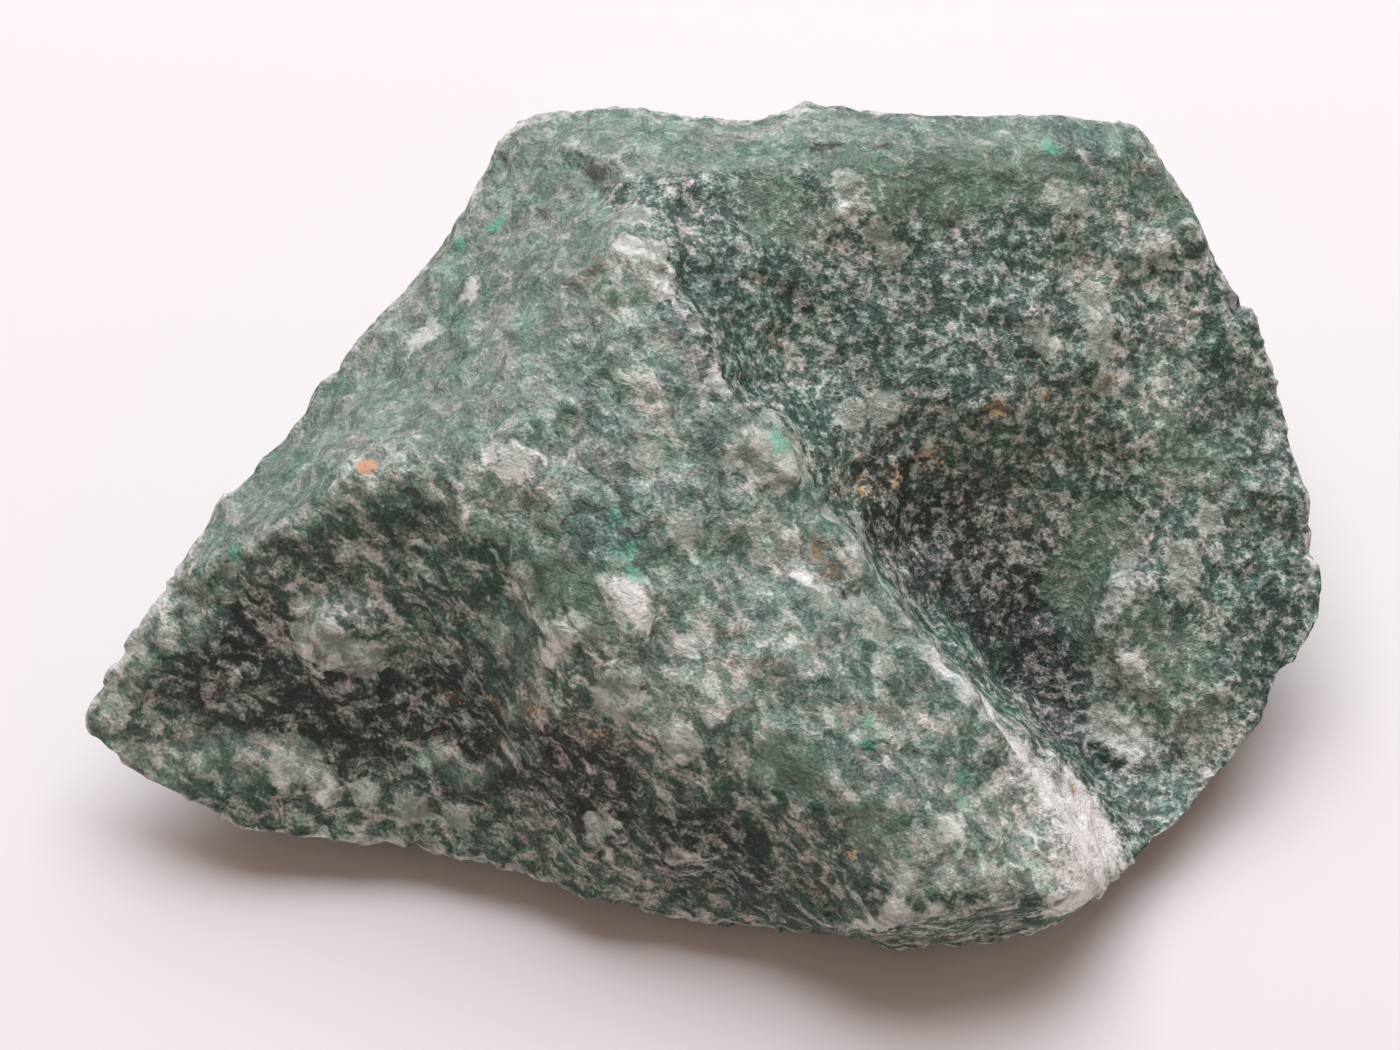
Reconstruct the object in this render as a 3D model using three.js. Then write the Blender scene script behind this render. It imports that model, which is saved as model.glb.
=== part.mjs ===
// A rough, hand-sized lump of green aventurine quartzite, broken on all sides, lying on its flattest face.
// Units are millimetres, +Z is up, and the stone rests on z = 0.

import * as THREE from 'three';
import { ImprovedNoise } from 'three/addons/math/ImprovedNoise.js';
import { TessellateModifier } from 'three/addons/modifiers/TessellateModifier.js';
import { mergeVertices } from 'three/addons/utils/BufferGeometryUtils.js';

// Overall size of the finished stone.
const LENGTH = 61;
const DEPTH = 45;
const HEIGHT = 22;

// Surface look, as a plain fallback for viewers without the full material.
const STONE_COLOUR = 0x6b776c;
const STONE_ROUGHNESS = 0.62;

// Mesh fineness.
const MAX_EDGE = 2;
const SPLIT_ROUNDS = 24;
const WELD_DISTANCE = 0.002;

// Rounding of the fracture edges by smoothing; a point this near to a crisp edge counts as on it.
const RELAX_ROUNDS = 4;
const RELAX_RATE = 0.55;
const CREASE_REACH = 0.02;

// The mineral layers lie across this direction, and the stone splits into thin ledges along them.
const LAYER_NORMAL = new THREE.Vector3(0, -0.37, 0.93).normalize();
const LEDGE_SPACING = 1.9;
const LEDGE_DEPTH = 0.32;
const LEDGE_WANDER = 6;

// Part of each layer over which a ledge steps out, as fractions of the layer.
const LEDGE_STEP_START = 0.1;
const LEDGE_STEP_END = 0.55;

// Roughness of the broken surface, from broad swells down to chips: size across, height, place in the noise.
const ROUGHNESS_LAYERS = [
  { size: 10, height: 0.4, offset: 3.7 },
  { size: 4.2, height: 0.28, offset: 41.3 },
  { size: 2.2, height: 0.16, offset: 87.1 },
];

// The surface is also broken into small tilted facets: cells of this size, each tipped by up to this slope.
const FACET_LAYERS = [
  { size: 6.5, slope: 0.07, offset: 11.5 },
  { size: 3.2, slope: 0.08, offset: 63.9 },
];
const CELL_JITTER = 0.4;
const NEAR_CELLS = [-1, 0, 1];

// Large odd numbers that make the scatter of the cells look random.
const SCATTER_STEPS = [127.1, 311.7, 74.7, 53.3];
const SCATTER_GAIN = 43758.5453;

// A face whose normal is within this cosine of the X axis is measured along Y instead.
const NEARLY_ALONG = 0.9;

// Everything below this height is planed off to the flat face that the stone rests on.
const REST_CUT = 0.35;

// Corners where fracture faces meet: x to the right, y to the back, z up.
const corners = {
  // Outline seen from above, clockwise from the left tip.
  leftTip: [-31.5, -11.5, 8],
  tipUpper: [-28.5, -9.5, 9.5],
  leftShoulder: [-26, -6.5, 11.5],
  leftRim1: [-23.5, -2, 12],
  leftRim2: [-18.5, 4.5, 14.5],
  leftRim3: [-13.5, 7.5, 16],
  leftRim4: [-12, 12, 17],
  backLeft: [-10, 17, 18.5],
  back1: [-6, 17, 19],
  back2: [-1, 16, 19.5],
  back3: [5, 16.5, 19.5],
  back4: [10, 16.5, 20],
  back5: [13, 16, 20],
  back6: [17, 16, 20],
  backRight: [23, 16.5, 19.5],
  right1: [23.5, 12.5, 19],
  right2: [25.5, 10.5, 17],
  right3: [27.5, 8.5, 14.5],
  right4: [29.5, 5.5, 11.5],
  right5: [30, 2.5, 10],
  right6: [31, -0.5, 9],
  rightNotch: [30.5, -2, 8],
  right7: [32, -4.5, 7],
  right8: [31, -7, 6.5],
  lowNotch: [29, -8, 6],
  right9: [28.5, -10.5, 5.5],
  right10: [27, -12, 4.5],
  right11: [24.5, -15, 3.5],
  right12: [21, -18.5, 3.5],
  foot: [19.5, -21, 6.5],
  lipEnd: [19, -21, 3.5],
  lip1: [14.5, -22, 3],
  lip2: [11, -22, 2.5],
  lip3: [7, -21.5, 2.5],
  lip4: [2.5, -21, 2.5],
  front1: [-1, -20, 2.5],
  front2: [-5, -20.5, 3],
  front3: [-7, -19.5, 3],
  front4: [-11, -17, 3],
  front5: [-16, -16.5, 3],
  front6: [-21.5, -16.5, 3.5],
  front7: [-24, -16, 4],
  front8: [-27.5, -14, 5],
  tipLower: [-30.5, -13.5, 6.5],

  // Crest between the left slope and the upper face, and the sharp ridge that runs down to the foot.
  crestBack: [-2, 10, 21.5],
  peak: [-2.5, 6.5, 22],
  crest1: [-5.5, 3.5, 21],
  crest2: [-10, -1.5, 19],
  crest3: [-13, -4, 18.5],
  crest4: [-16.5, -4, 18],
  crest5: [-20, -6, 16.5],
  crest6: [-23, -6.5, 14.5],
  ridge1: [-0.5, 1.5, 20.5],
  ridge2: [2.5, -2, 18.5],
  ridge3: [5, -5, 16.5],
  ridge4: [7.5, -8, 15],
  ridge5: [10.5, -11, 13],
  ridge6: [14, -14.5, 12],
  ridge7: [16.5, -17, 10],

  // Left slope.
  slopeMid: [-15, 2, 16],
  slopeHigh: [-7, 11, 19.5],

  // Upper face, its brow above the front and the blunt nose in the middle.
  upperHigh: [-4, -3, 19],
  upperMid: [0, -11, 16],
  upperLow: [6.5, -16.5, 12.5],
  brow1: [-12, -5.5, 18.5],
  brow2: [-9, -5.5, 18.5],
  brow3: [-6.5, -8.5, 17],
  nose1: [-8, -12, 14.5],
  nose2: [-5, -15, 13],
  nose3: [-1.5, -16.5, 12],
  brow4: [2.5, -18.5, 11.5],
  brow5: [7.5, -20.5, 10.5],
  brow6: [9, -22.5, 8.5],
  ledge1: [8, -23.5, 7.5],
  ledge2: [14, -23.5, 8.5],
  ledge3: [18, -22, 7.5],

  // Steep front.
  frontLeft: [-22.5, -9, 11],
  frontMid: [-13.5, -10, 11],
  frontRight: [-7, -17, 6.5],

  // Large right face with the hollow beside the ridge.
  topEdge1: [2.5, 11.5, 21],
  topEdge2: [7, 12.5, 20.5],
  topEdge3: [12.5, 13, 20.5],
  topEdge4: [17, 13.5, 20.5],
  highLeft: [5.5, 8, 19],
  highMid: [15, 8.5, 18.5],
  highRight: [22, 8, 16],
  underRidge: [3, 2.5, 16],
  hollow1: [8, -0.5, 14.5],
  hollow2: [10, -5, 10],
  midRight: [17, 1.5, 15],
  farRight: [22.5, 2.5, 12.5],
  stepDown: [20, -5.5, 8],
  hollowFoot: [16, -8.5, 3.5],
  rimFoot: [23.5, -10.5, 5.5],
  footHollow: [21, -13.5, 3],

  // Hidden walls below the outline.
  tipUnder: [-24, -12, 2.8],
  wallLeft1: [-24, -7, 4.5],
  wallLeft2: [-19, 3.5, 7],
  wallLeft3: [-13.5, 12.5, 8],
  wallBackLeft: [-9.5, 20, 8],
  wallBack1: [2, 21.5, 9],
  wallBack2: [13, 20.5, 7.5],
  wallBackRight: [23, 18, 9],
  wallRight1: [27, 10, 8],
  wallRight2: [28.5, 2, 4],
  wallRight3: [27.5, -6.5, 2.5],
  wallRight4: [23.5, -11, 1.5],

  // Border of the face that the stone rests on, clockwise seen from above.
  baseTip: [-19, -10.5, 0],
  baseLeft: [-16, 3.5, 0],
  baseBackLeft: [-9.5, 14.5, 0],
  baseBack: [4, 17.5, 0],
  baseBackRight: [17, 15.5, 0],
  baseRight1: [23, 7.5, 0],
  baseRight2: [24, -3.5, 0],
  baseRight3: [20.5, -11.5, 0],
  baseFront1: [12, -17.5, 0],
  baseFront2: [0, -16.5, 0],
  baseFront3: [-10, -14.5, 0],
};

// Fracture faces as loops of corners, counter-clockwise seen from outside.
const faces = {
  slopeLow: 'leftShoulder crest6 crest5 crest4 crest3 slopeMid leftRim2 leftRim1',
  slopeMiddle: 'crest3 crest2 crest1 slopeHigh leftRim4 leftRim3 leftRim2 slopeMid',
  slopeTop: 'crest1 peak crestBack back1 backLeft leftRim4 slopeHigh',
  backStrip: 'crestBack topEdge1 topEdge2 topEdge3 topEdge4 backRight back6 back5 back4 back3 back2 back1',

  upperLeft: 'crest3 brow1 brow2 brow3 upperMid upperHigh crest1 crest2',
  upperRight: 'upperHigh upperMid ridge4 ridge3 ridge2',
  upperTop: 'upperHigh ridge2 ridge1 peak crest1',
  noseTop: 'brow3 nose1 nose2 nose3 brow4 upperLow upperMid',
  rampMiddle: 'upperMid upperLow ridge6 ridge5 ridge4',
  rampLow: 'upperLow brow4 brow5 brow6 ledge1 ledge2 ridge7 ridge6',
  rampFoot: 'ledge2 ledge3 foot ridge7',

  frontTip: 'tipUpper leftTip tipLower front8 front7 frontLeft leftShoulder',
  frontShoulder: 'leftShoulder frontLeft crest6',
  frontRim: 'crest6 frontLeft crest5',
  frontUpper: 'crest5 frontLeft frontMid crest3 crest4',
  frontBrow: 'crest3 frontMid nose1 brow3 brow2 brow1',
  frontLower: 'frontLeft front7 front6 front5 frontMid',
  frontNose: 'frontMid front5 front4 front3 frontRight nose2 nose1',
  frontFoot: 'nose2 frontRight front3 front2 front1 brow4 nose3',
  frontEnd: 'brow4 front1 lip4 ledge1 brow6 brow5',
  underLedgeLeft: 'ledge1 lip4 lip3',
  underLedgeMiddle: 'ledge1 lip3 lip2 ledge2',
  underLedgeRight: 'ledge2 lip2 lip1 lipEnd ledge3',
  underFoot: 'lipEnd foot ledge3',

  highCorner: 'crestBack peak ridge1 underRidge highLeft topEdge1',
  highFace: 'topEdge1 highLeft highMid topEdge3 topEdge2',
  highRightFace: 'topEdge3 highMid highRight right2 right1 backRight topEdge4',
  rightRimFace: 'highRight farRight right5 right4 right3 right2',
  centreLeft: 'highLeft underRidge hollow1 midRight highMid',
  centreRight: 'highMid midRight farRight highRight',
  ridgeWallTop: 'ridge1 ridge2 underRidge',
  ridgeWallHigh: 'ridge2 ridge3 hollow1 underRidge',
  ridgeWallLow: 'ridge3 ridge4 ridge5 ridge6 hollowFoot hollow2 hollow1',
  hollowFloor: 'hollow1 hollow2 hollowFoot stepDown farRight midRight',
  rightLower: 'farRight stepDown rimFoot right9 lowNotch right8 right7 rightNotch right6 right5',
  stepFace: 'hollowFoot footHollow rimFoot stepDown',
  footWall: 'ridge6 ridge7 foot footHollow hollowFoot',
  footRim: 'footHollow foot right12 right11',
  rimEnd: 'footHollow right11 right10 right9 rimFoot',

  wallTip: 'leftTip tipUpper leftShoulder wallLeft1 tipUnder',
  wallLeftLow: 'leftShoulder leftRim1 leftRim2 wallLeft2 wallLeft1',
  wallLeftHigh: 'leftRim2 leftRim3 leftRim4 wallLeft3 wallLeft2',
  wallLeftBack: 'leftRim4 backLeft wallBackLeft wallLeft3',
  wallBackA: 'backLeft back1 back2 wallBack1 wallBackLeft',
  wallBackB: 'back2 back3 back4 wallBack2 wallBack1',
  wallBackC: 'back4 back5 back6 backRight wallBackRight wallBack2',
  wallRightA: 'backRight right1 right2 right3 wallRight1 wallBackRight',
  wallRightB: 'right3 right4 wallRight2 wallRight1',
  wallRightC: 'right4 right5 right6 rightNotch right7 right8 wallRight3 wallRight2',
  wallRightD: 'right8 lowNotch right9 right10 wallRight4 wallRight3',
  wallRightE: 'right10 right11 baseRight3 wallRight4',
  wallFoot: 'right11 right12 foot lipEnd baseFront1 baseRight3',

  underLeft: 'tipUnder wallLeft1 wallLeft2 baseLeft baseTip',
  underLeftBack: 'wallLeft2 wallLeft3 baseBackLeft baseLeft',
  underBackLeft: 'wallLeft3 wallBackLeft wallBack1 baseBack baseBackLeft',
  underBack: 'wallBack1 wallBack2 wallBackRight baseBackRight baseBack',
  underBackRight: 'wallBackRight wallRight1 baseRight1 baseBackRight',
  underRight: 'wallRight1 wallRight2 baseRight2 baseRight1',
  underRightLow: 'wallRight2 wallRight3 wallRight4 baseRight3 baseRight2',
  underLipEnd: 'lipEnd lip1 baseFront1',
  underLipRight: 'lip1 lip2 baseFront1',
  underLipMiddle: 'lip2 lip3 lip4 baseFront2 baseFront1',
  underLipLeft: 'lip4 front1 baseFront2',
  underFront: 'front1 front2 front3 front4 baseFront3 baseFront2',
  underFrontLeft: 'front4 front5 front6 front7 baseTip baseFront3',
  underTip: 'front7 front8 tipLower leftTip tipUnder baseTip',
  base: 'baseTip baseLeft baseBackLeft baseBack baseBackRight baseRight1 baseRight2 baseRight3 '
    + 'baseFront1 baseFront2 baseFront3',
};

// Edges that stay crisp while the others are rounded over.
const crispEdges = [
  'peak ridge1 ridge2 ridge3 ridge4 ridge5 ridge6 ridge7 foot',
  'ledge1 ledge2 ledge3 foot',
  'leftTip tipUpper leftShoulder leftRim1 leftRim2 leftRim3 leftRim4 backLeft',
  'backLeft back1 back2 back3 back4 back5 back6 backRight right1 right2 right3 right4',
  'right4 right5 right6 rightNotch right7 right8 lowNotch right9 right10 right11 right12 foot',
  'foot lipEnd lip1 lip2 lip3 lip4 front1 front2 front3 front4',
  'front4 front5 front6 front7 front8 tipLower leftTip',
];

// A flake is level out to this share of its reach and then falls away.
const FLAKE_TOP = 0.68;

// Flakes that stand proud (lift above 0) and chips that are missing (lift below 0), each round its own point.
const flakes = [
  // Along the sharp ridge and the crest.
  { at: [3.5, -2, 18.5], reach: 2.3, lift: 0.3 },
  { at: [7.5, -7.5, 15.5], reach: 1.8, lift: 0.35 },
  { at: [11.5, -12.5, 13], reach: 1.8, lift: 0.35 },
  { at: [-2.5, 5, 22], reach: 2.6, lift: 0.3 },
  // Upper face and nose.
  { at: [-9, -4.5, 19], reach: 2.4, lift: 0.3 },
  { at: [-4.5, -11.5, 16], reach: 2.8, lift: 0.5 },
  { at: [2, -10, 15], reach: 2.2, lift: -0.3 },
  { at: [5.5, -18.5, 12], reach: 2, lift: 0.4 },
  { at: [-7, 1.5, 19.5], reach: 2.4, lift: -0.25 },
  // Steep front.
  { at: [-17.5, -10, 10.5], reach: 2.8, lift: 0.85 },
  { at: [-21, -15, 5.5], reach: 2.2, lift: 0.45 },
  { at: [-11.5, -13.5, 8], reach: 2.4, lift: -0.4 },
  { at: [-5, -18, 6], reach: 2, lift: 0.6 },
  { at: [-0.5, -20, 7], reach: 2.2, lift: 0.45 },
  { at: [-26, -11, 8.5], reach: 1.8, lift: -0.3 },
  // Left slope.
  { at: [-20, 1.5, 13], reach: 2.2, lift: -0.4 },
  { at: [-5, 13.5, 20], reach: 2.4, lift: 0.35 },
  // Right face: raised scales, the hollow beside the ridge and the step near the rim.
  { at: [8, 10, 20.5], reach: 2.4, lift: 0.5 },
  { at: [17, 5, 16.5], reach: 2, lift: 0.5 },
  { at: [20, 5, 15.5], reach: 2.2, lift: 0.5 },
  { at: [11, -1.5, 11], reach: 3, lift: -0.4 },
  { at: [21, -6.5, 8], reach: 2.6, lift: 0.6 },
  { at: [24, -4.5, 9], reach: 2.2, lift: 0.5 },
  { at: [19.5, -10.5, 4], reach: 1.8, lift: 0.4 },
  { at: [26.5, -1.5, 9.5], reach: 1.8, lift: -0.3 },
  // Back and left walls.
  { at: [0, 21, 13], reach: 4, lift: -0.7 },
  { at: [18, 18.5, 13], reach: 3.5, lift: 0.6 },
  { at: [-20, 4, 9], reach: 3, lift: -0.5 },
  { at: [28, 3, 7], reach: 2.6, lift: 0.5 },
];

const noise = new ImprovedNoise();

// Turns a list of names in one string into their points.
function pointsOf(names) {
  return names.split(' ').map((name) => new THREE.Vector3(...corners[name]));
}

// Newell's method: the average normal of a loop that need not be flat.
function loopNormal(loop) {
  const normal = new THREE.Vector3();
  loop.forEach((point, i) => {
    const next = loop[(i + 1) % loop.length];
    normal.x += (point.y - next.y) * (point.z + next.z);
    normal.y += (point.z - next.z) * (point.x + next.x);
    normal.z += (point.x - next.x) * (point.y + next.y);
  });
  return normal.normalize();
}

// Cuts one face loop into triangles, seen square-on so that no corner is skipped.
function faceTriangles(loop) {
  const normal = loopNormal(loop);
  const start = Math.abs(normal.x) < NEARLY_ALONG ? new THREE.Vector3(1, 0, 0) : new THREE.Vector3(0, 1, 0);
  const across = start.cross(normal).normalize();
  const along = new THREE.Vector3().crossVectors(across, normal);
  const flat = loop.map((point) => new THREE.Vector2(point.dot(along), point.dot(across)));
  return THREE.ShapeUtils.triangulateShape(flat, []).flat().map((index) => loop[index]);
}

// All face loops as one closed cage of large triangles.
function cageGeometry() {
  const points = Object.values(faces).flatMap((names) => faceTriangles(pointsOf(names)));
  return new THREE.BufferGeometry().setFromPoints(points);
}

// Splits the cage into small triangles that share their corners.
function fineGeometry(cage) {
  const split = new TessellateModifier(MAX_EDGE, SPLIT_ROUNDS).modify(cage);
  return mergeVertices(split, WELD_DISTANCE);
}

// For every vertex, the set of vertices it shares an edge with.
function neighbourSets(geometry) {
  const index = geometry.index.array;
  const sets = Array.from({ length: geometry.attributes.position.count }, () => new Set());
  for (let i = 0; i < index.length; i += 3) {
    for (let side = 0; side < 3; side += 1) {
      const a = index[i + side];
      const b = index[i + ((side + 1) % 3)];
      sets[a].add(b);
      sets[b].add(a);
    }
  }
  return sets;
}

// The crisp edges as straight segments.
function crispSegments() {
  return crispEdges.flatMap((names) => {
    const points = pointsOf(names);
    return points.slice(1).map((point, i) => new THREE.Line3(points[i], point));
  });
}

// Rounds the mesh; a vertex on a crisp edge is drawn only towards its neighbours on such edges.
function relax(points, neighbours) {
  const segments = crispSegments();
  const nearest = new THREE.Vector3();
  const onCrease = points.map((point) => segments.some((segment) => (
    segment.closestPointToPoint(point, true, nearest).distanceTo(point) < CREASE_REACH
  )));
  const pull = points.map((point, i) => {
    const all = [...neighbours[i]];
    return onCrease[i] ? all.filter((other) => onCrease[other]) : all;
  });
  for (let round = 0; round < RELAX_ROUNDS; round += 1) {
    const before = points.map((point) => point.clone());
    points.forEach((point, i) => {
      const mean = new THREE.Vector3();
      pull[i].forEach((other) => mean.add(before[other]));
      mean.divideScalar(pull[i].length);
      point.lerp(mean, RELAX_RATE);
    });
  }
}

// The entries of a position or normal attribute as vectors.
function pointsIn(attribute) {
  const indices = Array.from({ length: attribute.count }, (_, i) => i);
  return indices.map((i) => new THREE.Vector3().fromBufferAttribute(attribute, i));
}

// Puts the points into the geometry and gives the outward direction at every vertex.
function normalsOf(geometry, points) {
  geometry.attributes.position.array.set(points.flatMap((point) => point.toArray()));
  geometry.computeVertexNormals();
  return pointsIn(geometry.attributes.normal);
}

// Height that the proud flakes and missing chips add at a point.
function flakeHeight(point) {
  return flakes.reduce((height, { at, reach, lift }) => {
    const away = point.distanceTo(new THREE.Vector3(...at)) / reach;
    return height + lift * (1 - THREE.MathUtils.smoothstep(away, FLAKE_TOP, 1));
  }, 0);
}

// Thin ledges: the surface steps in and out as it crosses the mineral layers.
function ledgeHeight(point) {
  const wander = noise.noise(point.x / LEDGE_WANDER, point.y / LEDGE_WANDER, point.z / LEDGE_WANDER);
  const level = point.dot(LAYER_NORMAL) / LEDGE_SPACING + wander;
  const step = level - Math.floor(level);
  return LEDGE_DEPTH * (THREE.MathUtils.smoothstep(step, LEDGE_STEP_START, LEDGE_STEP_END) - step);
}

// Grainy roughness of the broken surface at a point.
function roughHeight(point) {
  return ROUGHNESS_LAYERS.reduce((height, { size, height: amount, offset }) => (
    height + amount * noise.noise(point.x / size + offset, point.y / size - offset, point.z / size + offset)
  ), 0);
}

// A repeatable scatter between -1 and 1 for a whole-number cell; each channel gives another value.
function scatter(cell, channel) {
  const sum = [...cell, channel].reduce((total, value, i) => total + value * SCATTER_STEPS[i], 0);
  const wave = Math.sin(sum) * SCATTER_GAIN;
  return 2 * (wave - Math.floor(wave)) - 1;
}

// Three scatter values of a cell as a vector.
function scatterVector(cell, firstChannel) {
  return new THREE.Vector3(...[0, 1, 2].map((step) => scatter(cell, firstChannel + step)));
}

// The cells round a point that is given in cell units, as whole-number corners.
function cellsNear(point) {
  const home = point.clone().floor();
  return NEAR_CELLS.flatMap((x) => NEAR_CELLS.flatMap((y) => NEAR_CELLS.map((z) => (
    [home.x + x, home.y + y, home.z + z]
  ))));
}

// Nearest scattered cell centre to a point given in cell units, and that cell's own tilt.
function nearestCell(point) {
  let best = { distance: Infinity };
  cellsNear(point).forEach((cell) => {
    const middle = new THREE.Vector3(...cell).addScalar(0.5);
    const centre = middle.addScaledVector(scatterVector(cell, 0), CELL_JITTER);
    const distance = centre.distanceTo(point);
    if (distance < best.distance) best = { distance, centre, tilt: scatterVector(cell, 3) };
  });
  return best;
}

// Small tilted facets: inside a cell the surface follows one plane.
function facetHeight(point) {
  return FACET_LAYERS.reduce((height, { size, slope, offset }) => {
    const local = point.clone().divideScalar(size).addScalar(offset);
    const { centre, tilt } = nearestCell(local);
    return height + slope * size * local.sub(centre).dot(tilt);
  }, 0);
}

// Moves every vertex out or in along its normal.
function roughen(points, normals) {
  points.forEach((point, i) => {
    const height = flakeHeight(point) + ledgeHeight(point) + roughHeight(point) + facetHeight(point);
    point.addScaledVector(normals[i], height);
  });
}

// Planes the underside flat, then scales the stone to its overall size on z = 0.
function settle(points) {
  points.forEach((point) => point.setZ(Math.max(point.z, REST_CUT)));
  const box = new THREE.Box3().setFromPoints(points);
  const centre = box.getCenter(new THREE.Vector3()).setZ(box.min.z);
  const scale = new THREE.Vector3(LENGTH, DEPTH, HEIGHT).divide(box.getSize(new THREE.Vector3()));
  points.forEach((point) => point.sub(centre).multiply(scale));
}

function stoneGeometry() {
  const geometry = fineGeometry(cageGeometry());
  const points = pointsIn(geometry.attributes.position);
  relax(points, neighbourSets(geometry));
  roughen(points, normalsOf(geometry, points));
  settle(points);
  normalsOf(geometry, points);
  return geometry;
}

const stone = new THREE.Mesh(
  stoneGeometry(),
  new THREE.MeshStandardMaterial({ color: STONE_COLOUR, roughness: STONE_ROUGHNESS, metalness: 0 }),
);
stone.name = 'raw_aventurine';
stone.material.name = 'aventurine';

const part = new THREE.Group();
part.name = 'raw_aventurine_stone';
part.add(stone);

export default part;
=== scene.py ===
import math
from collections import namedtuple

import bmesh
import bpy
import numpy as np
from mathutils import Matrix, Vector, noise


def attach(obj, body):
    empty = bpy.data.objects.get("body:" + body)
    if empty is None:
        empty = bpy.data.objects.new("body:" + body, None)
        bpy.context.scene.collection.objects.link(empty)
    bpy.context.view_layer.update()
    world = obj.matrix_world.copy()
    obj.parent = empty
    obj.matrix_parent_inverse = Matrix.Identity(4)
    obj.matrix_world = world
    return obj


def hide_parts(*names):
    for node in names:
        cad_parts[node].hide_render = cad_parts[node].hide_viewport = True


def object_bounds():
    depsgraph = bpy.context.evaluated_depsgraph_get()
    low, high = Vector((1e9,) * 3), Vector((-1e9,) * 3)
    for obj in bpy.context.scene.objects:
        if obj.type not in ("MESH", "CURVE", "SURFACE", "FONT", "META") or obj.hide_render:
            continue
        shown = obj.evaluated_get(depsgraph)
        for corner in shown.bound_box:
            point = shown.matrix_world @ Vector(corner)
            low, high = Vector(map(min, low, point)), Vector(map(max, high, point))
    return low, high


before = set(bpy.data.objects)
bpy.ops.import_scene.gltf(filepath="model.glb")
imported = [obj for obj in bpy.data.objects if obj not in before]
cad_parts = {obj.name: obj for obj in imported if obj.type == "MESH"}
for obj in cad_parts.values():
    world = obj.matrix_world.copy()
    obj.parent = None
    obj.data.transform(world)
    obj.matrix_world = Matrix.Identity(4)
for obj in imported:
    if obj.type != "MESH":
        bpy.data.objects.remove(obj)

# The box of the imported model, taken before anything is added to it.
CAD_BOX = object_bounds()

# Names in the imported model.
NODE = "raw_aventurine"
BODY = "root"

# Lengths below are in millimetres unless they are multiplied by MM, and Blender works in metres.
MM = 0.001

# Random values run from 0 to 1, round this middle.
MIDDLE = 0.5

# The mineral layers slope down towards the viewer, and their grains are drawn out along the ridge.
LAYER_TILT = math.atan(0.4)
LAYER_NORMAL = np.array((0.0, -math.sin(LAYER_TILT), math.cos(LAYER_TILT)))
GRAIN_TURN = math.radians(53.0)

# Fine mesh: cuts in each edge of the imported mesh, and rounding of its flat triangles.
EDGE_CUTS = 3
WELD = 0.002 * MM
ROUND_STEPS = 3
ROUND_RATE = 0.6

# Relief of the broken surface: size across and height of its lumps and of its tilted facets.
LUMPS = ((2.6, 0.10), (1.1, 0.07))
FACETS = ((4.2, 0.24), (1.5, 0.13))

# Thin ledges: distance from one to the next, height, and the share of the distance over which one rises.
# They bend with a noise of the given size, by up to so many of their distances.
LEDGE_SPACING = 0.95
LEDGE_HEIGHT = 0.14
LEDGE_STEP = 0.3
LEDGE_WANDER = 4.0
LEDGE_BEND = 1.2

# The crushed zone: the share of the relief missing at its middle, and where its granular part begins.
CRUSHED_CALM = 0.85
CRUSHED_BORDER = (0.0, 0.3)

# Raised scales: height, size of the chips they are made of, how much luck decides whether a chip is there,
# and how near to a spot's centre it must lie.
SCALE_HEIGHT = 0.12
SCALE_CHIP = 1.2
SCALE_LUCK = 0.3
SCALE_RIM = (0.15, 0.3)

# Edges are found by comparing the surface with a much rounder one; this much above it counts as fully worn.
WEAR_STEPS = 30
WEAR_HEIGHT = 0.35

# Chips broken off the edges: size and depth.
EDGE_CHIP = 1.7
CHIP_DEPTH = 0.6

# The hollow right face is a fresh break, almost without ledges. It lies beyond both lines of the bent
# ridge, and before the top strip. Each line is a point on it and the direction towards the hollow.
HOLLOW_LINES = (
    (np.array((0.0, 1.2, 0.0)), np.array((0.89, 0.45, 0.0))),
    (np.array((5.8, -3.7, 0.0)), np.array((0.68, 0.73, 0.0))),
    (np.array((8.0, 13.2, 0.0)), np.array((0.05, -1.0, 0.0))),
)
HOLLOW_BORDER = (-0.6, 0.6)
HOLLOW_CALM = 0.85

# The steep front is a fresh break too. All other faces are dull and pale, and most even where they lie open
# to the weather.
FORWARD = np.array((0.0, -1.0, 0.0))
FRONT_SLOPE = (0.60, 0.74)
WEATHER_SIDE = np.array((-0.35, 0.30, 0.89))
WEATHER_RANGE = (0.75, 0.95)

# Camera: the photograph looks down at the stone from the front.
CAMERA_ELEVATION = math.radians(55.0)
CAMERA_DISTANCE = 260.8 * MM
CAMERA_TARGET = Vector((-0.5, 0.0, 8.8)) * MM
CAMERA_LENS = 135.0
SENSOR_WIDTH = 36.0

# Light: one large soft source behind the stone, and a pale room.
KEY_PLACE = Vector((15.0, 250.0, 465.0)) * MM
KEY_SIZE = 520.0 * MM
KEY_POWER = 3.8
KEY_COLOUR = (0.88, 0.94, 1.0)
ROOM_COLOUR = (1.0, 0.76, 0.64)
ROOM_STRENGTH = 0.315

# Floor: a plain pale surface.
FLOOR_SIZE = 2400.0 * MM
FLOOR_COLOUR = (0.84, 0.79, 0.80)
FLOOR_ROUGHNESS = 0.9

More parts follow.
